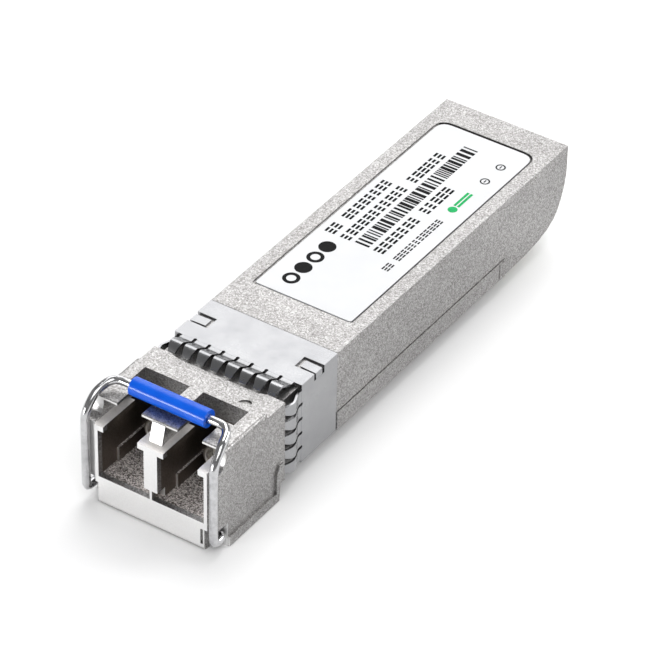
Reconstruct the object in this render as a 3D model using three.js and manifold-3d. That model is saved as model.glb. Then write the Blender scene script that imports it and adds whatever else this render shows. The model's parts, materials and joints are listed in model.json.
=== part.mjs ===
// Duplex optical transceiver module: a small pluggable module with two LC ports in its nose, a swinging
// bail that works a locking rocker underneath, a sheet-steel grounding collar and a card edge at the rear.
//
// Millimetres. +X is the right-hand side seen from the ports, +Y runs from the ports to the card edge,
// and +Z is up.
// The shapes below are drawn from a datum in the module: Y = 0 is the front edge of the labelled housing,
// Z = 0 is the underside that slides on the cage floor. The last lines shift the datum so that the origin
// lies under the middle of the whole module, on its lowest plane.

import * as THREE from 'three';
import { mergeVertices } from 'three/addons/utils/BufferGeometryUtils.js';
import Module from 'manifold-3d';

const wasm = await Module();
wasm.setup();

// ---------- driving dimensions ----------

const GAP = 0.03;                 // assembly gap between fixed neighbours

const BODY_HALF = 6.68;           // half width of the labelled housing
const TRAY_HALF = 6.76;           // half width of the lower shell, a little proud of the housing
const BODY_TOP = 8.5;             // height of the part that enters the cage
const BODY_END = 38.18;           // rear end of the module
const SEAM = 1.97;                // height of the parting line between the shells
const TRAY_END = 27.6;            // where the underside opens for the host connector
const WALL = 0.7;                 // wall of both shells
const ROOF = 0.85;                // top of the labelled housing

const NOSE_HALF = 6.85;           // half width of the nose outside the cage
const NOSE_FRONT = -18.4;
const NOSE_BACK = -8.25;
const NOSE_TOP = 9.0;
const NOSE_BOTTOM = -1.6;
const STOP_FACE = -9.32;          // positive stop, which meets the front of the cage
const STEP = -10.85;              // where the nose rises from the cage height to its own
const LIP_HALF = 5.58;            // half width of the lip below the ports

const PORT_PITCH = 6.22;          // between the two optical axes
const PORT_WIDTH = 4.82;
const PORT_FLOOR = 1.43;
const PORT_CEILING = 6.45;
const PORT_BACK = -8.95;
const OPTIC_Z = 3.8;              // height of the optical axes
const OPTIC_X = PORT_PITCH / 2;
const WEB_HALF = OPTIC_X - PORT_WIDTH / 2;     // half thickness of the wall between the ports
const PORT_OUTER = OPTIC_X + PORT_WIDTH / 2;
const FLANGE_TOP = 7.05;          // top of the flanges that guide the plug's latch
const FLANGE_HALF = 1.35;         // half width of the middle flange
const FLANGE_EDGE = 4.92;         // inner edge of the side flanges
const PLATE = { front: -17.0, bottom: 8.72 };    // plate over the ports, level with the nose's top
const LATCH_SLOT = { inner: 1.85, outer: 4.42 };  // slots in the plate for the arms of the plug's latches
const WINDOW = { front: -13.8, back: -11.6, outer: 5.4 };  // where those latches catch

const LABEL = { half: 5.08, front: 4.4, back: 34.8, thick: 0.12, pocket: 0.2 };

const COLLAR_ROOT = -5.5;         // where the collar's band ends and its fingers begin
const COLLAR_REACH = 2.58;        // length of the fingers
const SHEET = 0.2;                // thickness of the collar's sheet
const TOP_FINGERS = 8;
const TOP_PITCH = 1.5;
const SIDE_FINGERS = 5;
const SIDE_PITCH = 1.58;
const SIDE_FIRST = 0.92;          // height of the middle of the lowest side finger
const FINGER_GAP = 0.3;
const TOP_HUMP = 0.6;             // how far the top fingers bulge out of the collar
const SIDE_HUMP = 0.42;
const SLOT_END = 0.17;            // radius of the round end of the slot between two fingers

const WIRE = 0.4;                 // radius of the bail wire
const PIVOT = { y: -17.2, z: -0.25 };
const LEG = { x: 6.68, y: -18.6, top: 7.9 };
const BAR = { y: -15.3, z: 10.0 };
const CRANK = 0.3;                // throw of the crank in the middle of the bail's lower bar
const CRANK_HALF = 1.1;           // half length of the cranked stretch
const SLEEVE = { radius: 0.85, half: 3.93 };

const ROCKER_HALF = 1.5;
const TAIL_HALF = 0.85;
const ROCKER_PIN = { y: -12.8, z: 0.1, radius: 0.4 };
const SHOULDER = -6.82;           // locking shoulder, 45 mm from the rear end
const BOSS_DEPTH = 0.45;
const BOSS_HALF = 1.3;
const CHANNEL_HALF = 1.75;
const CHANNEL_ROOF = 0.95;
const CHANNEL_REAR_ROOF = 1.55;

const BOARD = { bottom: 2.25, thick: 1.0, front: 3.2, end: 34.98, half: 5.5, neck: 22.6, edgeHalf: 4.6 };
const BOARD_TOP = BOARD.bottom + BOARD.thick;
const CONTACTS = 10;
const CONTACT_PITCH = 0.8;
const SCREW = { x: 5.35, y: 24.6, radius: 0.55, head: 0.95 };

// ---------- solids ----------

// A closed three.js geometry as a manifold solid.
function solid(geometry) {
  const bare = geometry.clone();
  bare.deleteAttribute('normal');
  bare.deleteAttribute('uv');
  const welded = mergeVertices(bare, 1e-5);
  return new wasm.Manifold(new wasm.Mesh({
    numProp: 3,
    vertProperties: new Float32Array(welded.attributes.position.array),
    triVerts: new Uint32Array(welded.index.array),
  }));
}

function box([x0, x1], [y0, y1], [z0, z1]) {
  const block = new THREE.BoxGeometry(Math.abs(x1 - x0), Math.abs(y1 - y0), Math.abs(z1 - z0));
  return solid(block.translate((x0 + x1) / 2, (y0 + y1) / 2, (z0 + z1) / 2));
}

// An outline, given as points or as a Shape, pushed along its local +Z.
function push(outline, depth) {
  const shape = outline instanceof THREE.Shape
    ? outline
    : new THREE.Shape(outline.map(([a, b]) => new THREE.Vector2(a, b)));
  return new THREE.ExtrudeGeometry(shape, { depth, bevelEnabled: false, curveSegments: 5 });
}

const X_AXIS = new THREE.Vector3(1, 0, 0);
const Y_AXIS = new THREE.Vector3(0, 1, 0);
const Z_AXIS = new THREE.Vector3(0, 0, 1);

// A side view (y, z) pushed from x0 to x1.
function prismX(outline, x0, x1) {
  const turn = new THREE.Matrix4().makeBasis(Y_AXIS, Z_AXIS, X_AXIS);
  return solid(push(outline, x1 - x0).applyMatrix4(turn).translate(x0, 0, 0));
}

// A front view (x, z) pushed from y0 to y1.
function prismY(outline, y0, y1) {
  const turn = new THREE.Matrix4().makeBasis(X_AXIS, Z_AXIS, Y_AXIS.clone().negate());
  return solid(push(outline, y1 - y0).applyMatrix4(turn).translate(0, y1, 0));
}

// A plan view (x, y) pushed from z0 to z1.
function prismZ(outline, z0, z1) {
  return solid(push(outline, z1 - z0).translate(0, 0, z0));
}

function rodX(radius, y, z, x0, x1, sides = 16) {
  const rod = new THREE.CylinderGeometry(radius, radius, x1 - x0, sides);
  return solid(rod.rotateZ(Math.PI / 2).translate((x0 + x1) / 2, y, z));
}

function rodZ(radius, x, y, z0, z1, sides = 16) {
  const rod = new THREE.CylinderGeometry(radius, radius, z1 - z0, sides);
  return solid(rod.rotateX(Math.PI / 2).translate(x, y, (z0 + z1) / 2));
}

// A profile of (radius, y) turned about an optical axis.
function turned(profile, x, sides = 28) {
  const points = profile.map(([radius, y]) => new THREE.Vector2(radius, y));
  return solid(new THREE.LatheGeometry(points, sides).translate(x, 0, OPTIC_Z));
}

// A rectangle in plan with its own radius at each end.
function roundedPlan(half, y0, y1, frontRadius, backRadius) {
  const shape = new THREE.Shape();
  shape.moveTo(-half + frontRadius, y0);
  shape.lineTo(half - frontRadius, y0);
  shape.quadraticCurveTo(half, y0, half, y0 + frontRadius);
  shape.lineTo(half, y1 - backRadius);
  shape.quadraticCurveTo(half, y1, half - backRadius, y1);
  shape.lineTo(-half + backRadius, y1);
  shape.quadraticCurveTo(-half, y1, -half, y1 - backRadius);
  shape.lineTo(-half, y0 + frontRadius);
  shape.quadraticCurveTo(-half, y0, -half + frontRadius, y0);
  return shape;
}

const join = (first, ...others) => others.reduce((sum, next) => sum.add(next), first);
const cut = (first, ...others) => others.reduce((rest, next) => rest.subtract(next), first);
const bothSides = (make) => [-1, 1].map(make);
const toSide = (side, inner, outer) => (side > 0 ? [inner, outer] : [-outer, -inner]);

// ---------- looks ----------

const look = (color, roughness, metalness) => new THREE.MeshStandardMaterial({ color, roughness, metalness });
const dieCast = () => look(0xb4b0ab, 0.5, 1);
const sheetSteel = () => look(0xd4d6d8, 0.25, 1);
const stainless = () => look(0xe0e0e2, 0.15, 1);
const bluePlastic = () => look(0x0a3ce6, 0.35, 0);
const whiteFilm = () => look(0xf6f7f8, 0.45, 0);
const boardResin = () => look(0x14532d, 0.4, 0);
const goldPlate = () => look(0xd9a92e, 0.25, 1);
const blackResin = () => look(0x17181a, 0.5, 0);
const ceramic = () => look(0xf2efe6, 0.3, 0);
const amberFilm = () => look(0xb06a14, 0.35, 0);
const greySilicone = () => look(0x8a8f96, 0.8, 0);
const blackRubber = () => look(0x202124, 0.9, 0);

function part(name, shape, material) {
  const mesh = shape.getMesh();
  const geometry = new THREE.BufferGeometry();
  geometry.setAttribute('position', new THREE.BufferAttribute(new Float32Array(mesh.vertProperties), 3));
  geometry.setIndex(new THREE.BufferAttribute(new Uint32Array(mesh.triVerts), 1));
  geometry.computeVertexNormals();
  const piece = new THREE.Mesh(geometry, material);
  piece.name = name;
  return piece;
}

// ---------- lower shell with the nose ----------

// Side view of the nose: a rounded lip at the bottom, and cheeks hollowed out below the plate's front edge.
function noseOutline() {
  const lip = 0.55;
  const side = new THREE.Shape();
  side.moveTo(NOSE_BACK, 0);
  side.lineTo(STOP_FACE, 0);
  side.lineTo(STOP_FACE, NOSE_BOTTOM);
  side.lineTo(NOSE_FRONT + lip, NOSE_BOTTOM);
  side.quadraticCurveTo(NOSE_FRONT, NOSE_BOTTOM, NOSE_FRONT, NOSE_BOTTOM + lip);
  side.lineTo(NOSE_FRONT, FLANGE_TOP - 0.05);
  side.quadraticCurveTo(PLATE.front - 0.25, FLANGE_TOP - 0.05, PLATE.front, NOSE_TOP - 0.7);
  side.lineTo(PLATE.front, NOSE_TOP - 0.08);
  side.lineTo(PLATE.front + 0.08, NOSE_TOP);
  side.lineTo(STEP - 0.12, NOSE_TOP);
  side.lineTo(STEP, BODY_TOP);
  side.lineTo(NOSE_BACK, BODY_TOP);
  return side;
}

// Front view that rounds the nose's long upper edges.
function noseSection() {
  const round = NOSE_TOP - BODY_TOP;
  const section = new THREE.Shape();
  section.moveTo(-NOSE_HALF, NOSE_BOTTOM);
  section.lineTo(NOSE_HALF, NOSE_BOTTOM);
  section.lineTo(NOSE_HALF, NOSE_TOP - round);
  section.quadraticCurveTo(NOSE_HALF, NOSE_TOP, NOSE_HALF - round, NOSE_TOP);
  section.lineTo(-NOSE_HALF + round, NOSE_TOP);
  section.quadraticCurveTo(-NOSE_HALF, NOSE_TOP, -NOSE_HALF, NOSE_TOP - round);
  return section;
}

// Everything that is taken out of the nose for one port: the bore, the gap between the latch flanges, the
// recess between those flanges and the plate, the slot in the plate and the window behind it.
function portCuts(side) {
  const open = NOSE_FRONT - 0.5;
  const above = NOSE_TOP + 0.5;
  const intoWindow = WINDOW.front + 0.2;
  const flangeOuter = PORT_OUTER + 0.32;
  return [
    box(toSide(side, WEB_HALF, PORT_OUTER), [open, PORT_BACK], [PORT_FLOOR, PORT_CEILING]),
    box(toSide(side, FLANGE_HALF, FLANGE_EDGE), [open, intoWindow], [PORT_CEILING - 0.2, FLANGE_TOP + 0.2]),
    box(toSide(side, 0, flangeOuter), [open, intoWindow], [FLANGE_TOP, PLATE.bottom]),
    box(toSide(side, 0, flangeOuter), [open, PLATE.front], [FLANGE_TOP, above]),
    box(toSide(side, LATCH_SLOT.inner, LATCH_SLOT.outer), [open, intoWindow], [PLATE.bottom - 0.1, above]),
    box(toSide(side, WEB_HALF, WINDOW.outer), [WINDOW.front, WINDOW.back], [PORT_CEILING - 0.2, above]),
  ];
}

// The web that carries the middle of the plate, which the closed bail's sleeve lies over.
function plateWeb() {
  return prismX([
    [PLATE.front - 0.65, FLANGE_TOP - 0.1],
    [WINDOW.front + 0.3, FLANGE_TOP - 0.1],
    [WINDOW.front + 0.3, PLATE.bottom + 0.1],
    [PLATE.front - 0.1, PLATE.bottom + 0.1],
  ], -WEB_HALF + 0.04, WEB_HALF - 0.04);
}

// A low rib in the corner of a port, at the left of its floor, that steers the plug.
function guideRib(side) {
  const wall = side * OPTIC_X - PORT_WIDTH / 2;
  const high = [PORT_FLOOR - 0.1, PORT_FLOOR + 1.4];
  return box([wall - 0.1, wall + 0.22], [NOSE_FRONT + 2.7, PORT_BACK + 0.3], high);
}

// Raised rim on each cheek: down the positive stop and forward along the bottom.
function cheekRim(side) {
  const thick = 0.2;
  const rim = [
    [STOP_FACE + 0.25, 0.5],
    [STOP_FACE + 0.35, 1.6],
    [STOP_FACE + 0.6, 2.3],
    [STOP_FACE + 0.1, 2.3],
    [STOP_FACE - 0.35, 1.5],
    [STOP_FACE - 0.4, -0.52],
    [PIVOT.y + 0.5, -0.52],
    [PIVOT.y + 0.5, NOSE_BOTTOM + 0.1],
    [STOP_FACE, NOSE_BOTTOM + 0.1],
  ];
  return prismX(rim, ...toSide(side, NOSE_HALF - 0.1, NOSE_HALF + thick));
}

// Room at each lower front corner for the bail's legs and feet, from the front face back past the pivot.
function legRoom(side) {
  const inner = LEG.x - WIRE - 0.06;
  const open = NOSE_FRONT - 0.5;
  const deep = NOSE_BOTTOM - 0.1;
  const behindFoot = PIVOT.y + WIRE + 0.06;
  const outside = NOSE_HALF + 0.5;
  return [
    box(toSide(side, LIP_HALF, outside), [open, behindFoot], [deep, PORT_FLOOR - 0.7]),
    box(toSide(side, inner, outside), [open, behindFoot], [deep, PORT_FLOOR - 0.4]),
    box(toSide(side, inner - 0.35, outside), [open, NOSE_FRONT + 0.26], [deep, NOSE_TOP]),
  ];
}

// Narrow upright groove near the right-hand end of the lip.
function lipGroove() {
  return box([LIP_HALF - 0.42, LIP_HALF - 0.14], [NOSE_FRONT - 0.5, NOSE_FRONT + 0.3], [-0.9, 0.7]);
}

// Channel in the underside for the rocker, with the cross slot that carries the bail's lower bar.
function rockerChannel() {
  const deep = NOSE_BOTTOM - 0.1;
  const slot = WIRE + 0.05;
  return [
    box([-CHANNEL_HALF, CHANNEL_HALF], [NOSE_FRONT + 0.45, STOP_FACE + 0.35], [deep, CHANNEL_ROOF]),
    box([-CHANNEL_HALF, CHANNEL_HALF], [STOP_FACE + 0.2, -4.3], [deep, CHANNEL_REAR_ROOF]),
    box([-NOSE_HALF, NOSE_HALF], [PIVOT.y - slot, PIVOT.y + slot], [deep, PIVOT.z]),
    rodX(slot, PIVOT.y, PIVOT.z, -NOSE_HALF, NOSE_HALF),
    rodX(ROCKER_PIN.radius + 0.02, ROCKER_PIN.y, ROCKER_PIN.z, -NOSE_HALF - 0.5, CHANNEL_HALF + 0.9),
  ];
}

// Shallow pocket with sloped ends in the nose's top, just in front of the collar's fingers.
function topPocket() {
  const bottom = BODY_TOP - 0.28;
  const across = [
    [-5.3, BODY_TOP + 0.02],
    [-4.1, bottom],
    [3.9, bottom],
    [5.1, BODY_TOP + 0.02],
  ];
  return prismY(across, STEP + 0.12, NOSE_BACK + 0.5);
}

// Round mark that an ejector pin of the casting die leaves at one end of that pocket.
const pinMark = () => rodZ(0.62, 3.95, STEP + 0.72, BODY_TOP - 0.42, BODY_TOP + 0.3);

// Cutaway under the front of the middle wall, which leaves a thin rib on its centre line.
function middleWallFoot() {
  const height = 0.95;
  return bothSides((side) => box(
    toSide(side, 0.12, WEB_HALF + 0.2),
    [NOSE_FRONT - 0.5, NOSE_FRONT + 1.1],
    [PORT_FLOOR, PORT_FLOOR + height],
  ));
}

function nose() {
  const block = prismX(noseOutline(), -NOSE_HALF, NOSE_HALF)
    .intersect(prismY(noseSection(), NOSE_FRONT - 1, NOSE_BACK + 1));
  const hollow = cut(block, ...bothSides(portCuts).flat());
  const dressed = join(hollow, plateWeb(), ...bothSides(guideRib), ...bothSides(cheekRim));
  const bore = [[0, PORT_BACK - 1], [1.62, PORT_BACK - 1], [1.62, NOSE_BACK + 1], [0, NOSE_BACK + 1]];
  const barrels = bothSides((side) => turned(bore, side * OPTIC_X, 20));
  const marks = [topPocket(), pinMark(), lipGroove()];
  return cut(dressed, ...marks, ...middleWallFoot(), ...barrels, ...bothSides(legRoom).flat());
}

// The core that the collar wraps, between two heights: a close seat for the band, and a deeper step
// under the fingers so that they can flex inward.
function collarCore(z0, z1, y0) {
  const seat = SHEET + GAP;
  const deep = SHEET + 0.28;
  const top = Math.min(z1, BODY_TOP - seat);
  const deepTop = Math.min(z1, BODY_TOP - deep);
  const band = box([seat - BODY_HALF, BODY_HALF - seat], [COLLAR_ROOT + 0.2, 0.1], [z0, top]);
  const flexRoom = box([deep - BODY_HALF, BODY_HALF - deep], [y0, COLLAR_ROOT + 0.3], [z0, deepTop]);
  return band.add(flexRoom);
}

// The tray behind the nose: a floor, two low sides and a raised cover over the rocker's channel.
function tray() {
  const floor = 1.0;
  const rear = box([-TRAY_HALF, TRAY_HALF], [0, TRAY_END], [0, SEAM]);
  const front = collarCore(SHEET + GAP, SEAM, NOSE_BACK - 0.1);
  const keel = box([-3, 3], [NOSE_BACK - 0.1, 0.1], [0, SEAM - 0.2]);
  const inside = TRAY_HALF - WALL - 0.25;
  const hollow = box([-inside, inside], [NOSE_BACK + 0.7, TRAY_END + 1], [floor, SEAM + 1]);
  const cover = box([-2.5, 2.5], [NOSE_BACK, -3.9], [floor - 0.3, SEAM]);
  const bulge = 0.07;
  const ribs = bothSides((side) => box(
    toSide(side, TRAY_HALF - 0.1, TRAY_HALF + bulge),
    [TRAY_END - 0.95, TRAY_END - 0.25],
    [0.15, SEAM - 0.12],
  ));
  return join(cut(join(rear, front), hollow), keel.subtract(hollow), cover, ...ribs);
}

function screwHole(side) {
  return [
    rodZ(SCREW.radius + 0.04, side * SCREW.x, SCREW.y, -0.1, SEAM + 1),
    rodZ(SCREW.head + 0.05, side * SCREW.x, SCREW.y, -0.1, 0.5),
  ];
}

function screwPad(side) {
  return box(toSide(side, SCREW.x - 1.1, TRAY_HALF - 0.4), [SCREW.y - 1.3, SCREW.y + 1.3], [0.5, SEAM]);
}

function baseShell() {
  const whole = join(nose(), tray(), ...bothSides(screwPad));
  return cut(whole, ...rockerChannel(), ...bothSides(screwHole).flat());
}

// ---------- labelled housing ----------

// Side view: the skirt drops to the bottom behind the tray, and the lower rear corner is one long round.
function housingOutline() {
  const side = new THREE.Shape();
  side.moveTo(0, SEAM + GAP);
  side.lineTo(TRAY_END + GAP, SEAM + GAP);
  side.lineTo(TRAY_END + GAP, 0);
  side.lineTo(29.5, 0);
  side.bezierCurveTo(33.5, 0, 36.1, 0.65, 36.9, 2.05);
  side.quadraticCurveTo(38.1, 4.0, BODY_END, 6.0);
  side.lineTo(BODY_END, BODY_TOP);
  side.lineTo(0, BODY_TOP);
  return side;
}

function labelPocket() {
  const moat = 0.2;
  const plan = roundedPlan(LABEL.half + moat, LABEL.front - moat, LABEL.back + moat, 0.4, 1.4);
  return prismZ(plan, BODY_TOP - LABEL.pocket, BODY_TOP + 1);
}

function upperHousing() {
  const shell = prismX(housingOutline(), -BODY_HALF, BODY_HALF);
  const tongue = collarCore(SEAM + GAP, BODY_TOP, NOSE_BACK + GAP);
  const inside = BODY_HALF - WALL;
  const hollow = box([-inside, inside], [0.4, BODY_END - 1.5], [-1, BODY_TOP - ROOF]);
  const tongueHollow = box([-inside + 0.2, inside - 0.2], [NOSE_BACK - 1, 0.5], [-1, BODY_TOP - ROOF - 0.15]);
  const cardMouth = box([-inside, inside], [BODY_END - 2, BODY_END + 1], [-1, BOARD_TOP + 2.0]);
  const posts = bothSides((side) => box(
    toSide(side, SCREW.x - 0.75, BODY_HALF - 0.3),
    [SCREW.y - 1.1, SCREW.y + 1.1],
    [SEAM + GAP, BODY_TOP - 0.4],
  ));
  const threads = bothSides((side) => rodZ(SCREW.radius + 0.02, side * SCREW.x, SCREW.y, SEAM - 1, 5.2));
  const walls = cut(join(shell, tongue), hollow, tongueHollow, cardMouth);
  return cut(join(walls, ...posts), ...threads, labelPocket());
}

// ---------- grounding collar ----------

// Side view of one finger lying flat: it rises from the band, rounds over and dips to its tip.
// The first coordinate runs from the root to the tip, the second outward from the band's outer face.
function fingerStrip(hump) {
  const bends = [[0.17, 0], [0.43, 0.62], [0.64, 1], [0.83, 0.66], [0.95, 0.1]];
  const route = new THREE.CatmullRomCurve3([
    new THREE.Vector3(-0.15, 0, 0),
    ...bends.map(([along, out]) => new THREE.Vector3(along * COLLAR_REACH, out * hump, 0)),
    new THREE.Vector3(COLLAR_REACH, -0.12, 0),
  ]);
  const steps = 14;
  const outer = [];
  const inner = [];
  for (let step = 0; step <= steps; step += 1) {
    const at = route.getPoint(step / steps);
    const along = route.getTangent(step / steps);
    outer.push([at.x, at.y]);
    inner.unshift([at.x + along.y * SHEET, at.y - along.x * SHEET]);
  }
  return [...outer, ...inner];
}

// Flat view of one finger: even as far as its crest, then tapered to a blunt tip.
// The first coordinate runs across the finger, the second from the root to the tip.
function fingerBlank(half) {
  const edge = [[1, -0.2], [1, 0.55], [0.9, 0.78], [0.7, 0.93], [0.5, 1.05]];
  const right = edge.map(([across, along]) => [across * half, along * COLLAR_REACH]);
  const left = right.map(([across, along]) => [-across, along]).reverse();
  return [...right, ...left];
}

const topMiddle = (index) => (index - (TOP_FINGERS - 1) / 2) * TOP_PITCH;
const sideMiddle = (index) => SIDE_FIRST + index * SIDE_PITCH;

function topFinger(index) {
  const middle = topMiddle(index);
  const half = (TOP_PITCH - FINGER_GAP) / 2;
  const outline = fingerStrip(TOP_HUMP).map(([along, out]) => [COLLAR_ROOT - along, BODY_TOP + out]);
  const blank = fingerBlank(half).map(([across, along]) => [middle + across, COLLAR_ROOT - along]);
  return prismX(outline, middle - half, middle + half).intersect(prismZ(blank, 0, BODY_TOP + 1));
}

function sideFinger(side, index) {
  const middle = sideMiddle(index);
  const half = (SIDE_PITCH - FINGER_GAP) / 2;
  const strip = fingerStrip(SIDE_HUMP);
  const outline = strip.map(([along, out]) => [side * (BODY_HALF + out), COLLAR_ROOT - along]);
  const blank = fingerBlank(half).map(([across, along]) => [COLLAR_ROOT - along, middle + across]);
  return prismZ(outline, middle - half, middle + half)
    .intersect(prismX(blank, -BODY_HALF - 1, BODY_HALF + 1));
}

// The slots between neighbouring fingers end in small round holes in the band.
function slotEnds() {
  const deep = SHEET + 0.1;
  const tops = Array.from({ length: TOP_FINGERS - 1 }, (_, index) => rodZ(
    SLOT_END, topMiddle(index) + TOP_PITCH / 2, COLLAR_ROOT, BODY_TOP - deep, BODY_TOP + deep, 10,
  ));
  const sides = Array.from({ length: SIDE_FINGERS - 1 }, (_, index) => rodX(
    SLOT_END, COLLAR_ROOT, sideMiddle(index) + SIDE_PITCH / 2, -BODY_HALF - deep, BODY_HALF + deep, 10,
  ));
  return [...tops, ...sides];
}

// Window over each upper edge of the band, where a tab of the sheet hooks into the housing.
function hookWindow(side) {
  return box(toSide(side, 4.62, BODY_HALF + 1), [-3.6, -2.05], [BODY_TOP - 0.75, BODY_TOP + 1]);
}

function hookTab(side) {
  const slope = [
    [side * (BODY_HALF - SHEET), BODY_TOP - 0.85],
    [side * BODY_HALF, BODY_TOP - 0.85],
    [side * (BODY_HALF - 0.05), BODY_TOP - 0.12],
    [side * 5.0, BODY_TOP - 0.06],
    [side * 5.0, BODY_TOP - 0.18],
    [side * (BODY_HALF - SHEET), BODY_TOP - 0.22],
  ];
  return prismY(slope, -3.3, -2.35);
}

function emiCollar() {
  const inner = BODY_HALF - SHEET;
  const outside = box([-BODY_HALF, BODY_HALF], [COLLAR_ROOT, -GAP], [0, BODY_TOP]);
  const inside = box([-inner, inner], [COLLAR_ROOT - 1, 1], [SHEET, BODY_TOP - SHEET]);
  const keelGap = box([-3.1, 3.1], [COLLAR_ROOT - 1, 1], [-1, SHEET + 0.1]);
  const band = cut(outside, inside, keelGap, ...bothSides(hookWindow));
  const tops = Array.from({ length: TOP_FINGERS }, (_, index) => topFinger(index));
  const rows = Array.from({ length: SIDE_FINGERS }, (_, index) => index);
  const sides = bothSides((side) => rows.map((index) => sideFinger(side, index)));
  return cut(join(band, ...tops, ...sides.flat(), ...bothSides(hookTab)), ...slotEnds());
}

// ---------- label ----------

function productLabel() {
  const bottom = BODY_TOP - LABEL.pocket + 0.01;
  return prismZ(roundedPlan(LABEL.half, LABEL.front, LABEL.back, 0.3, 1.2), bottom, bottom + LABEL.thick);
}

// ---------- bail ----------

// Half of the bail's route for side +1 or -1: the corners of its centre line, from the middle of the crank
// round to the middle of the top bar, each with the reach of the bend that rounds it.
function bailHalf(side) {
  const throwBack = CRANK * Math.SQRT1_2;
  const crank = [PIVOT.y - throwBack, PIVOT.z + throwBack];
  const corner = (x, y, z, reach) => ({ at: new THREE.Vector3(side * x, y, z), reach });
  return [
    corner(0.02, ...crank, 0),
    corner(CRANK_HALF, ...crank, 0.2),
    corner(CRANK_HALF + 0.45, PIVOT.y, PIVOT.z, 0.2),
    corner(LEG.x, PIVOT.y, PIVOT.z, 0.42),
    corner(LEG.x, LEG.y, PIVOT.z, 0.62),
    corner(LEG.x, LEG.y, LEG.top, 0.9),
    corner(LEG.x - 0.15, LEG.y + 1.3, 9.45, 0.7),
    corner(LEG.x - 0.65, BAR.y, BAR.z + 0.02, 1.1),
    corner(0.02, BAR.y, BAR.z, 0),
  ];
}

// A wire of straight stretches joined by smooth bends.
function wireRoute(corners) {
  const route = new THREE.CurvePath();
  let from = corners[0].at;
  for (let index = 1; index < corners.length - 1; index += 1) {
    const { at, reach } = corners[index];
    const towards = (other) => at.clone().lerp(other, reach / at.distanceTo(other));
    const enter = towards(corners[index - 1].at);
    const leave = towards(corners[index + 1].at);
    route.add(new THREE.LineCurve3(from, enter));
    route.add(new THREE.QuadraticBezierCurve3(enter, at, leave));
    from = leave;
  }
  route.add(new THREE.LineCurve3(from, corners.at(-1).at));
  return route;
}

// The bail is one wire. Its two ends meet, with a hair's breadth between them, inside the sleeve.
function bailWire() {
  const left = bailHalf(-1).reverse();
  const right = bailHalf(1);
  const section = new THREE.Shape();
  section.absarc(0, 0, WIRE, 0, Math.PI * 2);
  const wire = new THREE.ExtrudeGeometry(section, {
    steps: 150,
    curveSegments: 6,
    bevelEnabled: false,
    extrudePath: wireRoute([...left.slice(0, -1), ...right.slice(1)]),
  });
  return solid(wire);
}

function bailSleeve() {
  const bore = rodX(WIRE + 0.03, BAR.y, BAR.z, -SLEEVE.half - 1, SLEEVE.half + 1, 20);
  return rodX(SLEEVE.radius, BAR.y, BAR.z, -SLEEVE.half, SLEEVE.half, 28).subtract(bore);
}

// ---------- latch ----------

// The rocker lies in its channel: a narrow tail under the bail's crank, a thick middle with the bore for its
// pin, and a thin arm whose end carries the locking boss.
function latchRocker() {
  const tail = [
    [-17.75, -0.52],
    [-17.75, -0.98],
    [-15.4, -1.04],
    [-13.6, -0.7],
    [-13.6, -0.3],
    [-14.9, -0.3],
    [-15.4, -0.52],
  ];
  const arm = [
    [-15.5, -0.02],
    [-15.5, -0.68],
    [ROCKER_PIN.y - 0.7, -0.72],
    [ROCKER_PIN.y + 0.7, -0.72],
    [-10.4, 0.08],
    [-4.6, 0.08],
    [-4.6, 0.5],
    [-10.2, 0.55],
    [ROCKER_PIN.y + 0.6, 0.78],
    [ROCKER_PIN.y - 0.6, 0.78],
    [-14.8, -0.02],
  ];
  const boss = [
    [SHOULDER, 0.2],
    [SHOULDER, -BOSS_DEPTH],
    [SHOULDER + 0.5, -BOSS_DEPTH],
    [SHOULDER + 2.1, 0.05],
    [SHOULDER + 2.1, 0.2],
  ];
  const reach = ROCKER_HALF + 1;
  const bore = rodX(ROCKER_PIN.radius + 0.05, ROCKER_PIN.y, ROCKER_PIN.z, -reach, reach, 20);
  const body = join(
    prismX(arm, -ROCKER_HALF, ROCKER_HALF),
    prismX(tail, -TAIL_HALF, TAIL_HALF),
    prismX(boss, -BOSS_HALF, BOSS_HALF),
  );
  return body.subtract(bore);
}

function rockerPin() {
  const reach = CHANNEL_HALF + 0.85;
  return rodX(ROCKER_PIN.radius, ROCKER_PIN.y, ROCKER_PIN.z, -reach, reach);
}

// Leaf spring: held against the channel's roof at its front, its tip presses the boss down.
function returnSpring() {
  const leaf = 0.12;
  const roof = CHANNEL_REAR_ROOF - GAP;
  return prismX([
    [-8.9, roof],
    [-8.9, roof - leaf],
    [-8.1, roof - leaf],
    [-5.75, 0.55],
    [-5.35, 0.6],
    [-5.35, 0.6 + leaf],
    [-5.75, 0.55 + leaf],
    [-8.05, roof],
  ], -0.9, 0.9);
}

// ---------- optical sub-assemblies ----------

// Receptacle barrel, two mounting flanges with the holder's groove between them, and the rear body.
function opticHousing(side, bodyRadius) {
  const bore = 0.86;
  return turned([
    [0, -6.9],
    [bore, -6.9],
    [bore, -12.95],
    [bore + 0.25, -13.2],
    [1.32, -13.2],
    [1.45, -13.05],
    [1.45, -8.1],
    [1.8, -8.0],
    [1.8, -7.5],
    [1.45, -7.45],
    [1.45, -6.65],
    [1.8, -6.6],
    [1.8, -5.9],
    [1.55, -5.8],
    [1.55, -3.6],
    [bodyRadius, -3.5],
    [bodyRadius, 0.1],
    [0, 0.1],
  ], side * OPTIC_X);
}

const ferruleSleeve = (side) => turned([
  [0.63, -7.1],
  [0.63, -12.5],
  [0.83, -12.5],
  [0.83, -7.1],
  [0.63, -7.1],
], side * OPTIC_X, 24);

const fibreStub = () => turned([[0, -9.7], [0.5, -9.7], [0.6, -9.6], [0.6, -6.95], [0, -6.95]], -OPTIC_X, 20);

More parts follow.
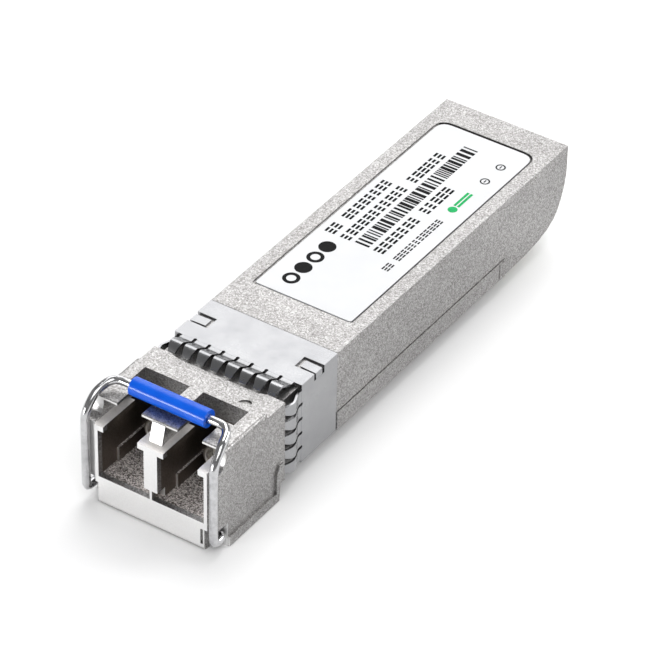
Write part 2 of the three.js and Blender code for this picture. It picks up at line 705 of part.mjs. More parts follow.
// Hermetic can with a wider header at its back.
const diodeCan = (side) => turned([
  [0, 0.14],
  [1.75, 0.14],
  [1.75, 1.5],
  [2.25, 1.55],
  [2.25, 2.15],
  [0, 2.15],
], side * OPTIC_X, 24);

// Flexible circuit: stands against the header and turns down onto the board.
function flexCircuit(side) {
  const film = 0.14;
  const rest = BOARD_TOP + 0.02;
  return prismX([
    [2.2, 5.4],
    [2.2, rest + 0.5],
    [2.6, rest + film],
    [3.0, rest],
    [6.2, rest],
    [6.2, rest + film],
    [3.1, rest + film],
    [2.7, rest + film + 0.15],
    [2.2 + film, rest + 0.6],
    [2.2 + film, 5.4],
  ], side * OPTIC_X - 1.5, side * OPTIC_X + 1.5);
}

// Saddle that drops over the grooves of both sub-assemblies and holds them down.
function opticSaddle() {
  const plate = box([-5.55, 5.55], [-7.4, -6.7], [2.1, BODY_TOP - ROOF - 0.25]);
  const seats = bothSides((side) => turned([[0, -8], [1.5, -8], [1.5, -6], [0, -6]], side * OPTIC_X, 24));
  const mouth = (middle) => box([middle - 1.5, middle + 1.5], [-8, -6], [1, OPTIC_Z]);
  const mouths = bothSides((side) => mouth(side * OPTIC_X));
  return cut(plate, ...seats, ...mouths);
}

// ---------- electronics ----------

function circuitBoard() {
  const outline = [
    [-BOARD.half, BOARD.front],
    [BOARD.half, BOARD.front],
    [BOARD.half, BOARD.neck],
    [BOARD.edgeHalf, BOARD.neck + 0.5],
    [BOARD.edgeHalf, BOARD.end - 0.3],
    [BOARD.edgeHalf - 0.3, BOARD.end],
    [-BOARD.edgeHalf + 0.3, BOARD.end],
    [-BOARD.edgeHalf, BOARD.end - 0.3],
    [-BOARD.edgeHalf, BOARD.neck + 0.5],
    [-BOARD.half, BOARD.neck],
  ];
  return prismZ(outline, BOARD.bottom, BOARD_TOP);
}

// Gold contact pads of one face of the card edge, joined by the plating bar behind them.
function edgeContacts(z0) {
  const plate = 0.04;
  const half = 0.3;
  const bar = box([-4.2, 4.2], [30.9, 31.2], [z0, z0 + plate]);
  const pads = Array.from({ length: CONTACTS }, (_, index) => {
    const x = (index - (CONTACTS - 1) / 2) * CONTACT_PITCH;
    return box([x - half, x + half], [31.1, BOARD.end - 0.45], [z0, z0 + plate]);
  });
  return join(bar, ...pads);
}

function chip(x, y, size, height) {
  const z = BOARD_TOP + 0.02;
  return box([x - size / 2, x + size / 2], [y - size / 2, y + size / 2], [z, z + height]);
}

function absorberSheet() {
  return box([-5.2, 5.2], [14.5, 22.8], [BODY_TOP - ROOF - 0.45, BODY_TOP - ROOF - GAP]);
}

function coverScrew(side) {
  const shank = rodZ(SCREW.radius, side * SCREW.x, SCREW.y, 0.3, 4.9);
  return shank.add(rodZ(SCREW.head, side * SCREW.x, SCREW.y, 0.05, 0.47));
}

// ---------- assembly ----------

const ceilingUnderRoof = BODY_TOP - ROOF - GAP;
const pieces = [
  part('base_shell', baseShell(), dieCast()),
  part('upper_housing', upperHousing(), dieCast()),
  part('emi_collar', emiCollar(), sheetSteel()),
  part('product_label', productLabel(), whiteFilm()),
  part('bail_wire', bailWire(), stainless()),
  part('bail_sleeve', bailSleeve(), bluePlastic()),
  part('latch_rocker', latchRocker(), dieCast()),
  part('rocker_pin', rockerPin(), stainless()),
  part('return_spring', returnSpring(), sheetSteel()),
  part('transmitter_housing', opticHousing(-1, 2.35), sheetSteel()),
  part('receiver_housing', opticHousing(1, 2.35), sheetSteel()),
  part('transmitter_ferrule_sleeve', ferruleSleeve(-1), ceramic()),
  part('receiver_ferrule_sleeve', ferruleSleeve(1), ceramic()),
  part('fibre_stub', fibreStub(), ceramic()),
  part('laser_can', diodeCan(-1), goldPlate()),
  part('photodiode_can', diodeCan(1), goldPlate()),
  part('transmitter_flex', flexCircuit(-1), amberFilm()),
  part('receiver_flex', flexCircuit(1), amberFilm()),
  part('optic_saddle', opticSaddle(), sheetSteel()),
  part('circuit_board', circuitBoard(), boardResin()),
  part('edge_contacts_top', edgeContacts(BOARD_TOP + 0.01), goldPlate()),
  part('edge_contacts_bottom', edgeContacts(BOARD.bottom - 0.05), goldPlate()),
  part('laser_driver_chip', chip(-2.6, 9.6, 4.0, 0.85), blackResin()),
  part('receiver_amplifier_chip', chip(2.9, 9.4, 3.0, 0.8), blackResin()),
  part('controller_chip', chip(0, 17.5, 5.0, 0.85), blackResin()),
  part('memory_chip', chip(-2.4, 25.4, 2.4, 0.7), blackResin()),
  part('driver_thermal_pad', box([-4.4, -0.8], [7.8, 11.4], [4.15, ceilingUnderRoof]), greySilicone()),
  part('laser_thermal_pad', box([-4.6, -1.6], [-2.9, -0.4], [6.2, 7.45]), greySilicone()),
  part('absorber_sheet', absorberSheet(), blackRubber()),
  part('cover_screw_left', coverScrew(-1), stainless()),
  part('cover_screw_right', coverScrew(1), stainless()),
];

const module = new THREE.Group();
module.add(...pieces);
module.position.set(0, -(BODY_END + LEG.y - WIRE) / 2, -NOSE_BOTTOM);

const transceiver = new THREE.Group();
transceiver.add(module);

export default transceiver;
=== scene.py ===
"""Looks for a pluggable duplex optical transceiver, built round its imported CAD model.

Metres, in the CAD's own frame: +X to the right seen from the ports, +Y from the ports to the card edge,
and +Z up.
"""

import json
import math
import random

import bmesh
import bpy
from mathutils import Matrix, Vector


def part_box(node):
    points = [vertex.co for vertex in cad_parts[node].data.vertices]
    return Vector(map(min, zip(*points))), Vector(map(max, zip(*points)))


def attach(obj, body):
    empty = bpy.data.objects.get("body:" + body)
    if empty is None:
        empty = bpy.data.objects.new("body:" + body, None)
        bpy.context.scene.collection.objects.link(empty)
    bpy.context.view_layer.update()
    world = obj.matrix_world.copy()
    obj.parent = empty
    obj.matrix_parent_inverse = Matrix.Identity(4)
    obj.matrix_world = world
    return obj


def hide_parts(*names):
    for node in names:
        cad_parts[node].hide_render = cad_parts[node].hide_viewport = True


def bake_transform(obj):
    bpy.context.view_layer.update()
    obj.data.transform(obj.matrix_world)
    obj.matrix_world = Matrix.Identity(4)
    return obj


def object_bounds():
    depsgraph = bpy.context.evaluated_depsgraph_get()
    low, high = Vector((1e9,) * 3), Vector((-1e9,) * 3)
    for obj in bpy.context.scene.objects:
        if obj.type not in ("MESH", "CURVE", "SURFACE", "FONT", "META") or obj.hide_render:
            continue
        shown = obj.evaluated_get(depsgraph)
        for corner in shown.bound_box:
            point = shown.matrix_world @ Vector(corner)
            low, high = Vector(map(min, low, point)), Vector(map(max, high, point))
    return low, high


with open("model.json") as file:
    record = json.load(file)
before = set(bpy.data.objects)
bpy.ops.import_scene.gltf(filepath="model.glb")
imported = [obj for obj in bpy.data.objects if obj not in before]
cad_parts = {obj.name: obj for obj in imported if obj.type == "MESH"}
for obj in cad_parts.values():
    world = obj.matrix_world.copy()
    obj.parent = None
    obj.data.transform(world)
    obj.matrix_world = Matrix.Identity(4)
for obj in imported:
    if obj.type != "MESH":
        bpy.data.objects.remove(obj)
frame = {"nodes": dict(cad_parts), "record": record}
CAD_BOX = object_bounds()
MM = 0.001

# Boxes of the frame that the materials treat apart from the rest: the front of the nose and the ledges over
# the ports, which get painted highlights, and the insides of its ports and the groove round the label, which
# get painted shade.
NOSE_LOW, SHELL_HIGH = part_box("base_shell")
NOSE_FRONT_HIGH = (SHELL_HIGH.x, NOSE_LOW.y + 3 * MM, SHELL_HIGH.z)
PORTS_HALF = 5.9 * MM
PORTS_LOW = (-PORTS_HALF, NOSE_LOW.y + 0.6 * MM, NOSE_LOW.z + 2.95 * MM)
PORTS_HIGH = (PORTS_HALF, NOSE_LOW.y + 9.7 * MM, NOSE_LOW.z + 8.55 * MM)
LEDGES_LOW = (-PORTS_HALF, NOSE_LOW.y, NOSE_LOW.z + 8.5 * MM)
LEDGES_HIGH = (PORTS_HALF, NOSE_LOW.y + 8 * MM, NOSE_LOW.z + 8.8 * MM)
LABEL_LOW, LABEL_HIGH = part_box("product_label")
MOAT_WIDTH = 0.3 * MM
MOAT_LOW = (LABEL_LOW.x, LABEL_LOW.y, LABEL_LOW.z - 0.1 * MM)
MOAT_HIGH = (LABEL_HIGH.x + MOAT_WIDTH, LABEL_HIGH.y + MOAT_WIDTH, LABEL_HIGH.z + 0.03 * MM)

MASK_EDGE = 0.05 * MM
SHARP_ANGLE = 32
FLAT_ANGLE = 0.4
WELD_REACH = 0.002 * MM
EDGE_WIDTHS = {"die_cast_zinc": 0.12, "sheet_steel": 0.045, "nickel_barrel": 0.05, "chip_resin": 0.04,
               "board_resin": 0.03, "white_label": 0.02, "gold_plate": 0.015}
OTHER_EDGE_WIDTH = 0.03
INK_THICKNESS = 0.01 * MM
INK_LIFT = 0.003 * MM
RING_STEPS = 28
SPRING_STEPS = 24
FLOOR_GAP = 0.01 * MM
FLOOR_HALF = 1.5
SOFTBOX_DISTANCE = 0.5
SOFTBOX_AIM = (0, 0, 0.005)

# ---------- node helpers ----------


def add(tree, kind, settings=None, **inputs):
    """A new shader node. An input is a value, or the output socket of another node. A key such as _0 is an
    input's number."""
    made = tree.nodes.new("ShaderNode" + kind)
    for key, value in (settings or {}).items():
        setattr(made, key, value)
    for key, value in inputs.items():
        socket = made.inputs[int(key[1:])] if key[0] == "_" else made.inputs[key.replace("_", " ")]
        if isinstance(value, bpy.types.NodeSocket):
            tree.links.new(value, socket)
        else:
            socket.default_value = value
    return made


def start(name, metallic, **constants):
    """A material and its Principled shader, with constants such as Coat_Weight set on the shader itself."""
    made = bpy.data.materials.new(name)
    made.use_nodes = True
    shader = made.node_tree.nodes["Principled BSDF"]
    shader.inputs["Metallic"].default_value = metallic
    for key, value in constants.items():
        shader.inputs[key.replace("_", " ")].default_value = value
    return made, made.node_tree, shader


def place(tree, stretch=(1, 1, 1)):
    """Object coordinates, with each axis stretched by its own factor."""
    where = add(tree, "TexCoord").outputs["Object"]
    return add(tree, "Mapping", Vector=where, Scale=[1 / factor for factor in stretch]).outputs["Vector"]


def noise(tree, size, stretch=(1, 1, 1), detail=2.0, lumps=0.5):
    """Soft noise whose features are about size metres across."""
    made = add(tree, "TexNoise", Vector=place(tree, stretch), Scale=1 / size, Detail=detail, Roughness=lumps)
    return made.outputs["Fac"]


def grains(tree, size):
    """A value for each of many packed grains about size metres across."""
    made = add(tree, "TexVoronoi", Vector=place(tree), Scale=1 / size, Randomness=1.0)
    return add(tree, "SeparateColor", Color=made.outputs["Color"]).outputs["Red"]


def remap(tree, value, low, high, to_low, to_high):
    made = add(tree, "MapRange", Value=value, From_Min=low, From_Max=high, To_Min=to_low, To_Max=to_high)
    return made.outputs["Result"]


def colours(tree, value, *stops):
    """A colour ramp through (position, (r, g, b)) stops."""
    ramp = add(tree, "ValToRGB", Fac=value)
    elements = ramp.color_ramp.elements
    while len(elements) < len(stops):
        elements.new(0.5)
    for element, (position, colour) in zip(elements, stops):
        element.position = position
        element.color = (*colour, 1)
    return ramp.outputs["Color"]


def tint(tree, colour, other, share, mode="MIX"):
    made = add(tree, "Mix", {"data_type": "RGBA", "blend_type": mode}, _0=share, _6=colour, _7=other)
    return made.outputs[2]


def mean(tree, first, second, share=0.5):
    return add(tree, "Mix", {"data_type": "FLOAT"}, _0=share, _2=first, _3=second).outputs[0]


def bump(tree, height, depth, strength=1.0, under=None):
    made = add(tree, "Bump", Height=height, Distance=depth, Strength=strength)
    if under is not None:
        tree.links.new(under, made.inputs["Normal"])
    return made.outputs["Normal"]


def grey(tree, value, low, high):
    level = remap(tree, value, 0.3, 0.7, low, high)
    return add(tree, "CombineColor", Red=level, Green=level, Blue=level).outputs["Color"]


def multiply(tree, first, second):
    return add(tree, "Math", {"operation": "MULTIPLY"}, _0=first, _1=second).outputs[0]


def either(tree, first, second):
    return add(tree, "Math", {"operation": "MAXIMUM"}, _0=first, _1=second).outputs[0]


def inside(tree, low, high, soft):
    """1 inside a box of the frame and 0 outside it, with a soft edge."""
    split = add(tree, "SeparateXYZ", Vector=add(tree, "TexCoord").outputs["Object"])
    share = None
    for axis in range(3):
        rise = remap(tree, split.outputs[axis], low[axis] - soft, low[axis], 0, 1)
        fall = remap(tree, split.outputs[axis], high[axis], high[axis] + soft, 1, 0)
        both = multiply(tree, rise, fall)
        share = both if share is None else multiply(tree, share, both)
    return share


def facing(tree, direction):
    """1 on faces that look along a direction."""
    normal = add(tree, "NewGeometry").outputs["True Normal"]
    along = add(tree, "VectorMath", {"operation": "DOT_PRODUCT"}, _0=normal, _1=direction).outputs["Value"]
    return remap(tree, along, 0.8, 0.95, 0, 1)


def wire_up(tree, shader, **sockets):
    for key, value in sockets.items():
        tree.links.new(value, shader.inputs[key.replace("_", " ")])


# ---------- materials ----------


def die_cast():
    """Satin nickel over a fine-grained casting: light and dark grains, with slow stains over them. The front
    of the nose and the ledges are smooth and bright from painted highlights. The insides of the ports get
    painted shade with a painted light speckle on their floors, and the groove round the label is painted dark
    as shade.
    """
    made, tree, shader = start("die_cast_nickel", 0.9)
    fine = grains(tree, 0.1 * MM)
    coarse = noise(tree, 0.17 * MM, detail=3, lumps=0.6)
    stain = noise(tree, 5 * MM, detail=3)
    speck = mean(tree, fine, coarse, 0.55)
    base = colours(tree, speck, (0.25, (0.175, 0.167, 0.163)), (0.42, (0.285, 0.276, 0.272)),
                   (0.58, (0.345, 0.339, 0.335)), (0.78, (0.53, 0.525, 0.52)))
    base = tint(tree, base, grey(tree, stain, 0.92, 1.06), 1.0, "MULTIPLY")
    ports = inside(tree, PORTS_LOW, PORTS_HIGH, MASK_EDGE)
    bottoms = multiply(tree, ports, facing(tree, (0, 0, 1)))
    # Painted shade: the insides of the ports are tinted dark brown where shade falls in them.
    base = tint(tree, base, (0.12, 0.092, 0.07, 1), multiply(tree, ports, 0.88))
    # Painted light: the up-facing floors of the ports get a light speckle, for light falling on them.
    painted_floor_light = colours(tree, speck, (0.35, (0.12, 0.10, 0.09)), (0.65, (0.85, 0.79, 0.76)))
    base = tint(tree, base, painted_floor_light, bottoms)
    ledges = multiply(tree, inside(tree, LEDGES_LOW, LEDGES_HIGH, MASK_EDGE), facing(tree, (0, 0, 1)))
    # Painted highlight: the up-facing tops of the ledges over the ports are tinted pale.
    base = tint(tree, base, (0.80, 0.77, 0.74, 1), multiply(tree, ledges, 0.8))
    front = inside(tree, NOSE_LOW, NOSE_FRONT_HIGH, 0.1 * MM)
    painted_front_highlight = multiply(tree, front, facing(tree, (0, -1, 0)))
    # Painted highlight: the forward-facing front of the nose is tinted near white, for light from the front.
    base = tint(tree, base, (0.87, 0.865, 0.86, 1), multiply(tree, painted_front_highlight, 0.9))
    # Painted shade: the groove round the label is tinted near black, for the shade in the recess.
    base = tint(tree, base, (0.08, 0.078, 0.076, 1), inside(tree, MOAT_LOW, MOAT_HIGH, 0.02 * MM))
    grain = remap(tree, either(tree, painted_front_highlight, ports), 0, 1, 0.5, 0.08)
    rough = bump(tree, coarse, 0.015 * MM, 0.35)
    wire_up(tree, shader,
            Base_Color=base,
            Metallic=remap(tree, either(tree, bottoms, ledges), 0, 1, 0.9, 0.45),
            Roughness=remap(tree, speck, 0.25, 0.75, 0.46, 0.34),
            Normal=bump(tree, fine, 0.007 * MM, grain, rough))
    return made


def sheet_steel():
    """Nickel-plated spring steel: smooth, with faint rolling lines and handling smears."""
    made, tree, shader = start("plated_spring_steel", 1.0)
    lines = noise(tree, 0.05 * MM, stretch=(12, 1, 12), detail=3)
    smear = noise(tree, 2.2 * MM, detail=4, lumps=0.6)
    base = colours(tree, smear, (0.3, (0.31, 0.312, 0.322)), (0.7, (0.36, 0.362, 0.37)))
    wire_up(tree, shader,
            Base_Color=base,
            Roughness=remap(tree, mean(tree, lines, smear), 0.3, 0.7, 0.17, 0.3),
            Normal=bump(tree, lines, 0.002 * MM, 0.35))
    return made


def drawn_wire():
    """Bright stainless wire with the faint lines of the die it was drawn through."""
    made, tree, shader = start("drawn_stainless", 1.0)
    lines = noise(tree, 0.04 * MM, stretch=(10, 1, 10), detail=2)
    scuff = noise(tree, 0.7 * MM, detail=5, lumps=0.7)
    base = colours(tree, scuff, (0.35, (0.46, 0.46, 0.47)), (0.6, (0.62, 0.62, 0.63)))
    wire_up(tree, shader,
            Base_Color=base,
            Roughness=remap(tree, scuff, 0.3, 0.75, 0.08, 0.26),
            Normal=bump(tree, lines, 0.002 * MM, 0.3))
    return made


def blue_tube():
    """Vivid blue extruded tube: faint lines along it, and a soft bloom where fingers rub it."""
    made, tree, shader = start("blue_tube", 0.0, Coat_Weight=0.3, Coat_Roughness=0.1, Specular_IOR_Level=0.2)
    lines = noise(tree, 0.06 * MM, stretch=(30, 1, 1), detail=3)
    bloom = noise(tree, 1.4 * MM, detail=4, lumps=0.6)
    base = colours(tree, bloom, (0.3, (0.0, 0.088, 0.62)), (0.7, (0.0, 0.112, 0.70)))
    wire_up(tree, shader,
            Base_Color=base,
            Roughness=remap(tree, mean(tree, lines, bloom), 0.3, 0.7, 0.26, 0.4),
            Normal=bump(tree, lines, 0.004 * MM, 0.4))
    return made


def label_film():
    """White satin film with a faint orange peel."""
    made, tree, shader = start("label_film", 0.0, Coat_Weight=0.15, Coat_Roughness=0.3)
    peel = noise(tree, 0.35 * MM, detail=3)
    age = noise(tree, 6 * MM, detail=3)
    base = colours(tree, age, (0.3, (0.665, 0.675, 0.69)), (0.7, (0.715, 0.72, 0.73)))
    wire_up(tree, shader,
            Base_Color=base,
            Roughness=remap(tree, peel, 0.3, 0.7, 0.36, 0.5),
            Normal=bump(tree, peel, 0.003 * MM, 0.3))
    return made


def ink(name, colour):
    """Thermal print: slightly uneven where the film took less of it."""
    made, tree, shader = start(name, 0.0, Specular_IOR_Level=0.1)
    take = noise(tree, 0.12 * MM, detail=3)
    light = [min(1.0, level * 1.4 + 0.012) for level in colour]
    wire_up(tree, shader,
            Base_Color=colours(tree, take, (0.35, colour), (0.75, light)),
            Roughness=remap(tree, take, 0.3, 0.7, 0.6, 0.8))
    return made


def turned_nickel():
    """Turned barrel: fine rings round its axis."""
    made, tree, shader = start("turned_nickel", 1.0)
    rings = noise(tree, 0.05 * MM, stretch=(40, 1, 40), detail=2)
    patch = noise(tree, 1.5 * MM)
    wire_up(tree, shader,
            Base_Color=colours(tree, patch, (0.3, (0.56, 0.55, 0.52)), (0.7, (0.68, 0.67, 0.64))),
            Roughness=remap(tree, rings, 0.3, 0.7, 0.2, 0.36),
            Normal=bump(tree, rings, 0.004 * MM, 0.6))
    return made


def gold():
    made, tree, shader = start("hard_gold", 1.0)
    patch = noise(tree, 0.4 * MM, detail=4)
    wire_up(tree, shader,
            Base_Color=colours(tree, patch, (0.3, (0.78, 0.52, 0.16)), (0.7, (0.90, 0.66, 0.26))),
            Roughness=remap(tree, patch, 0.3, 0.7, 0.2, 0.36),
            Normal=bump(tree, patch, 0.003 * MM, 0.4))
    return made


def ceramic():
    made, tree, shader = start("zirconia", 0.0, Coat_Weight=0.4, Coat_Roughness=0.08)
    patch = noise(tree, 0.6 * MM, detail=3)
    wire_up(tree, shader,
            Base_Color=colours(tree, patch, (0.3, (0.84, 0.82, 0.76)), (0.7, (0.90, 0.885, 0.84))),
            Roughness=remap(tree, patch, 0.3, 0.7, 0.14, 0.24))
    return made


def solder_mask():
    """Green mask, darker over bare laminate and lighter where copper runs under it."""
    made, tree, shader = start("solder_mask", 0.0, Coat_Weight=0.5, Coat_Roughness=0.2)
    cells = add(tree, "TexBrick", {"offset": 0.5}, Vector=place(tree), Scale=1 / (2.4 * MM), Mortar_Size=0.09,
                Mortar_Smooth=0.3)
    weave = noise(tree, 0.15 * MM, detail=2)
    base = colours(tree, weave, (0.3, (0.012, 0.115, 0.045)), (0.7, (0.018, 0.16, 0.065)))
    base = tint(tree, base, (0.05, 0.26, 0.11, 1), cells.outputs["Fac"])
    wire_up(tree, shader,
            Base_Color=base,
            Roughness=remap(tree, weave, 0.3, 0.7, 0.28, 0.42),
            Normal=bump(tree, cells.outputs["Fac"], 0.02 * MM, 0.4))
    return made


def moulded(name, dark, light, rough, size=0.12 * MM, depth=0.008 * MM):
    """Any moulded or rubbery body: a fine matt texture in two close tones."""
    made, tree, shader = start(name, 0.0)
    texture = noise(tree, size, detail=4, lumps=0.6)
    wire_up(tree, shader,
            Base_Color=colours(tree, texture, (0.3, dark), (0.7, light)),
            Roughness=remap(tree, texture, 0.3, 0.7, rough - 0.07, rough + 0.07),
            Normal=bump(tree, texture, depth, 0.6))
    return made


def studio_floor():
    made, tree, shader = start("studio_floor", 0.0)
    patch = noise(tree, 30 * MM, detail=2)
    wire_up(tree, shader,
            Base_Color=colours(tree, patch, (0.3, (0.93, 0.93, 0.93)), (0.7, (0.95, 0.95, 0.95))),
            Roughness=remap(tree, patch, 0.3, 0.7, 0.85, 0.95))
    return made


LOOKS = {
    "die_cast_zinc": die_cast(),
    "sheet_steel": sheet_steel(),
    "stainless_wire": drawn_wire(),
    "blue_plastic": blue_tube(),
    "white_label": label_film(),
    "nickel_barrel": turned_nickel(),
    "white_ceramic": ceramic(),
    "gold_plate": gold(),
    "board_resin": solder_mask(),
    "chip_resin": moulded("chip_resin", (0.012, 0.012, 0.013), (0.03, 0.03, 0.032), 0.5),
    "amber_film": moulded("polyimide", (0.30, 0.12, 0.012), (0.42, 0.19, 0.02), 0.3, 0.5 * MM, 0.002 * MM),
    "grey_silicone": moulded("gap_filler", (0.24, 0.26, 0.29), (0.33, 0.35, 0.38), 0.8, 0.2 * MM, 0.02 * MM),
    "black_absorber": moulded("absorber", (0.018, 0.018, 0.02), (0.04, 0.04, 0.043), 0.85, 0.2 * MM,
                              0.02 * MM),
}

# ---------- CAD parts ----------


def paint(piece, look):
    piece.data.materials.clear()
    piece.data.materials.append(look)


def shading_by_angle(degrees):
    """Geometry nodes that shade a mesh smooth, except over edges sharper than an angle."""
    group = bpy.data.node_groups.new("shading_by_angle", "GeometryNodeTree")
    group.interface.new_socket("Geometry", in_out="INPUT", socket_type="NodeSocketGeometry")
    group.interface.new_socket("Geometry", in_out="OUTPUT", socket_type="NodeSocketGeometry")
    given = group.nodes.new("NodeGroupInput")
    result = group.nodes.new("NodeGroupOutput")
    smooth = group.nodes.new("GeometryNodeSetShadeSmooth")
    smooth.domain = "FACE"
    keep_sharp = group.nodes.new("GeometryNodeSetShadeSmooth")
    keep_sharp.domain = "EDGE"
    angle = group.nodes.new("GeometryNodeInputMeshEdgeAngle")
    blunt = group.nodes.new("FunctionNodeCompare")
    blunt.operation = "LESS_THAN"
    blunt.inputs["B"].default_value = math.radians(degrees)
    group.links.new(given.outputs["Geometry"], smooth.inputs["Geometry"])
    group.links.new(smooth.outputs["Geometry"], keep_sharp.inputs["Geometry"])
    group.links.new(angle.outputs["Unsigned Angle"], blunt.inputs["A"])
    group.links.new(blunt.outputs["Result"], keep_sharp.inputs["Shade Smooth"])
    group.links.new(keep_sharp.outputs["Geometry"], result.inputs["Geometry"])
    return group


SHADING = shading_by_angle(SHARP_ANGLE)


def round_edges(piece, width):
    """Welds a CAD part's facets, merges its flat ones and rounds the edges that are left."""
    weld = piece.modifiers.new("weld", "WELD")
    weld.merge_threshold = WELD_REACH
    flat = piece.modifiers.new("flat", "DECIMATE")
    flat.decimate_type = "DISSOLVE"
    flat.angle_limit = math.radians(FLAT_ANGLE)
    piece.modifiers.new("shading", "NODES").node_group = SHADING
    edges = piece.modifiers.new("edges", "BEVEL")
    edges.width = width
    edges.segments = 2
    edges.limit_method = "ANGLE"
    edges.angle_limit = math.radians(SHARP_ANGLE)
    edges.use_clamp_overlap = True
    normals = piece.modifiers.new("normals", "WEIGHTED_NORMAL")
    normals.keep_sharp = True


def dress_cad_parts():
    slots = {part["node"]: part["material_slot"] for part in frame["record"]["subparts"]}
    for name, piece in frame["nodes"].items():
        slot = slots[name]
        paint(piece, LOOKS[slot])
        round_edges(piece, EDGE_WIDTHS.get(slot, OTHER_EDGE_WIDTH) * MM)


def bending_spring():
    """The return spring, cut into short steps along its length. The new piece takes the place of the CAD
    part, which is hidden.
    """
    rigid = frame["nodes"]["return_spring"]
    low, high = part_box("return_spring")
    shape = bmesh.new()
    shape.from_mesh(rigid.data)
    shape.transform(rigid.matrix_world)
    bmesh.ops.remove_doubles(shape, verts=shape.verts, dist=0.001 * MM)
    for step in range(1, SPRING_STEPS):
        where = Vector((0, low.y + (high.y - low.y) * step / SPRING_STEPS, 0))
        everything = shape.verts[:] + shape.edges[:] + shape.faces[:]
        bmesh.ops.bisect_plane(shape, geom=everything, plane_co=where, plane_no=(0, 1, 0), dist=1e-9)
    mesh = bpy.data.meshes.new("bending_spring")
    shape.to_mesh(mesh)
    shape.free()
    piece = bpy.data.objects.new("bending_spring", mesh)
    bpy.context.scene.collection.objects.link(piece)
    paint(piece, LOOKS["sheet_steel"])
    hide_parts("return_spring")
    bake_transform(piece)


# ---------- printing on the label ----------


class Print:
    """Flat marks on the label. along runs from its front edge, across from its left edge, in millimetres."""

    def __init__(self):
        self.shape = bmesh.new()
        self.corner = Vector((LABEL_LOW.x, LABEL_LOW.y, LABEL_HIGH.z + INK_LIFT))

    def patch(self, outline):
        points = [self.corner + Vector((across, along, 0)) * MM for along, across in outline]
        self.shape.faces.new([self.shape.verts.new(point) for point in points])

    def bar(self, along, across, length, width):
        self.patch([(along, across), (along, across + width), (along + length, across + width),
                    (along + length, across)])

    def ring(self, along, across, outer, inner):
        """A ring about a centre, or a disc where inner is 0."""
        turns = [math.tau * step / RING_STEPS for step in range(RING_STEPS)]
        if not inner:
            self.patch([(along + outer * math.sin(turn), across + outer * math.cos(turn)) for turn in turns])
            return
        for turn, after in zip(turns, turns[1:] + turns[:1]):
            self.patch([(along + reach * math.sin(angle), across + reach * math.cos(angle))
                        for reach, angle in ((outer, turn), (outer, after), (inner, after), (inner, turn))])

    def finish(self, name, look):
        mesh = bpy.data.meshes.new(name)
        self.shape.to_mesh(mesh)
        self.shape.free()
        piece = bpy.data.objects.new(name, mesh)
        bpy.context.scene.collection.objects.link(piece)
        film = piece.modifiers.new("film", "SOLIDIFY")
        film.thickness = INK_THICKNESS
        film.offset = 1
        paint(piece, look)
        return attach(piece, "module_body")


def dashes(mark, start, end, across, height, stroke):
    """A line of print, as plain groups of three short strokes, with a group left out now and then."""
    along = start
    pitch = height * 0.86
    while along + pitch * 0.7 < end:
        if random.random() > 0.1:
            width = pitch * random.choice((0.72, 0.8, 0.6))
            mark.bar(along, across, width, stroke)
            mark.bar(along, across + height - stroke, width, stroke)
            mark.bar(along, across + (height - stroke) * 0.5, width, stroke)
        along += pitch


def bar_code(mark, start, end, across, height):
    """Plain upright bars of random width. They hold no number."""
    along = start
    while along < end:
        width = random.choice((0.16, 0.16, 0.26, 0.4))
        mark.bar(along, across, min(width, end - along), height)
        along += width + random.choice((0.1, 0.12, 0.2, 0.28))


def print_label():
    """Generic marks in place of the real print: rings and discs, rows of strokes and random bars."""
    row_start = 9.9
    row_height = 1.05
    stroke = 0.24
    disc_pitch = 1.9
    black = Print()
    for index, hole in enumerate((0.46, 0, 0.46, 0)):
        black.ring(2.3 + disc_pitch * index, 2.3, 0.82, hole)
    dashes(black, row_start, 19.8, 0.68, row_height, stroke)
    dashes(black, row_start, 26.5, 2.36, row_height, stroke)
    bar_code(black, 10.0, 28.4, 3.9, 1.5)
    dashes(black, row_start, 21.7, 5.92, 1.08, stroke)
    black.finish("label_print_black", ink("black_print", (0.004, 0.004, 0.0045)))
    pale = Print()
    dashes(pale, 8.0, 17.4, 8.05, 0.72, 0.16)
    for along in (24.6, 27.3):
        pale.ring(along, 8.45, 0.48, 0.34)
        pale.bar(along - 0.2, 8.39, 0.4, 0.12)
    pale.finish("label_print_grey", ink("grey_print", (0.02, 0.02, 0.021)))
    green = Print()
    green.ring(19.2, 8.4, 0.46, 0)
    green.bar(19.8, 8.08, 2.4, 0.26)
    green.bar(19.8, 8.46, 2.4, 0.26)
    green.finish("label_print_green", ink("green_print", (0.02, 0.36, 0.11)))


# ---------- stage ----------


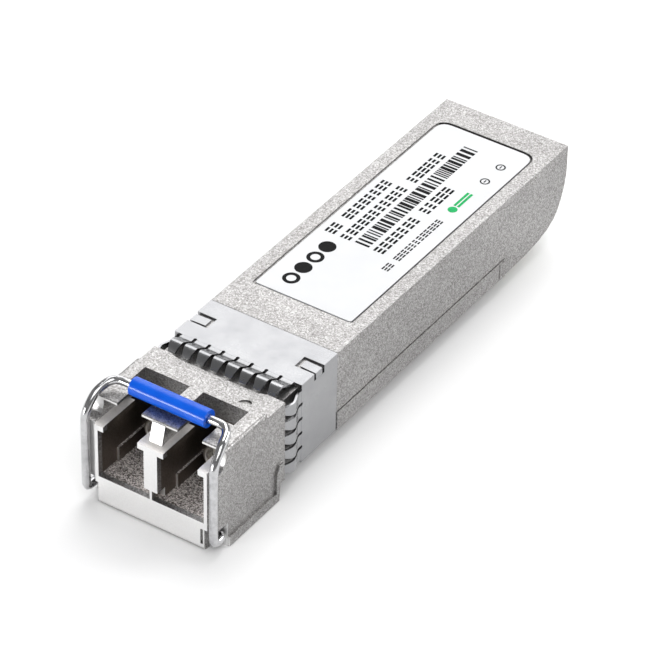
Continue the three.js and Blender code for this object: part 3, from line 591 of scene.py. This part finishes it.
def camera_view(azimuth, elevation, roll, distance, aim, lens):
    """A camera that looks at aim from azimuth (0 looks along +Y) and elevation, in degrees."""
    turn, tilt, lean = (math.radians(angle) for angle in (azimuth, elevation, roll))
    back = Vector((math.sin(turn) * math.cos(tilt), -math.cos(turn) * math.cos(tilt), math.sin(tilt)))
    right = Vector((math.cos(turn), math.sin(turn), 0))
    up = back.cross(right)
    leaned = right * math.cos(lean) + up * math.sin(lean)
    turned = Matrix((leaned, back.cross(leaned), back)).transposed().to_4x4()
    camera = bpy.data.objects.new("camera", bpy.data.cameras.new("camera"))
    camera.data.lens = lens
    camera.data.sensor_width = 36
    camera.data.clip_start = 0.005
    camera.matrix_world = Matrix.Translation(Vector(aim) + back * distance) @ turned
    bpy.context.scene.collection.objects.link(camera)
    bpy.context.scene.camera = camera


def softbox(name, towards, size, watts):
    """A square softbox that faces the module from the direction towards."""
    light = bpy.data.objects.new(name, bpy.data.lights.new(name, "AREA"))
    light.data.shape = "SQUARE"
    light.data.size = size
    light.data.energy = watts
    direction = Vector(towards).normalized()
    light.location = Vector(SOFTBOX_AIM) + direction * SOFTBOX_DISTANCE
    light.rotation_euler = direction.to_track_quat("Z", "Y").to_euler()
    bpy.context.scene.collection.objects.link(light)


def studio(strength):
    world = bpy.data.worlds.new("studio")
    bpy.context.scene.world = world
    world.use_nodes = True
    background = world.node_tree.nodes["Background"]
    background.inputs["Color"].default_value = (1, 1, 1, 1)
    background.inputs["Strength"].default_value = strength


def floor():
    """A plain floor just under the module, so that their faces don't coincide."""
    shape = bmesh.new()
    bmesh.ops.create_grid(shape, x_segments=2, y_segments=2, size=FLOOR_HALF)
    mesh = bpy.data.meshes.new("studio_floor")
    shape.to_mesh(mesh)
    shape.free()
    made = bpy.data.objects.new("studio_floor", mesh)
    made.location.z = CAD_BOX[0][2] - FLOOR_GAP
    bpy.context.scene.collection.objects.link(made)
    paint(made, studio_floor())


# ---------- build ----------

random.seed(7)
camera_view(azimuth=33.479, elevation=37.391, roll=0.96, distance=0.366961,
            aim=(0.001271, -0.003648, 0.007167), lens=231.04)
studio(strength=0.24)
softbox("back_softbox", (-0.44, 0.66, 0.61), size=0.42, watts=1.15)
softbox("top_softbox", (-0.1, 0.35, 1.0), size=0.3, watts=1.1)
softbox("edge_softbox", (0.61, 0.66, 0.44), size=0.26, watts=0.95)
softbox("front_softbox", (-0.44, -0.88, 0.08), size=0.14, watts=1.3)
softbox("fill_softbox", (0.5, -0.6, 1.0), size=0.35, watts=0.95)
floor()
dress_cad_parts()
bending_spring()
print_label()
bpy.context.scene.view_settings.view_transform = "Standard"
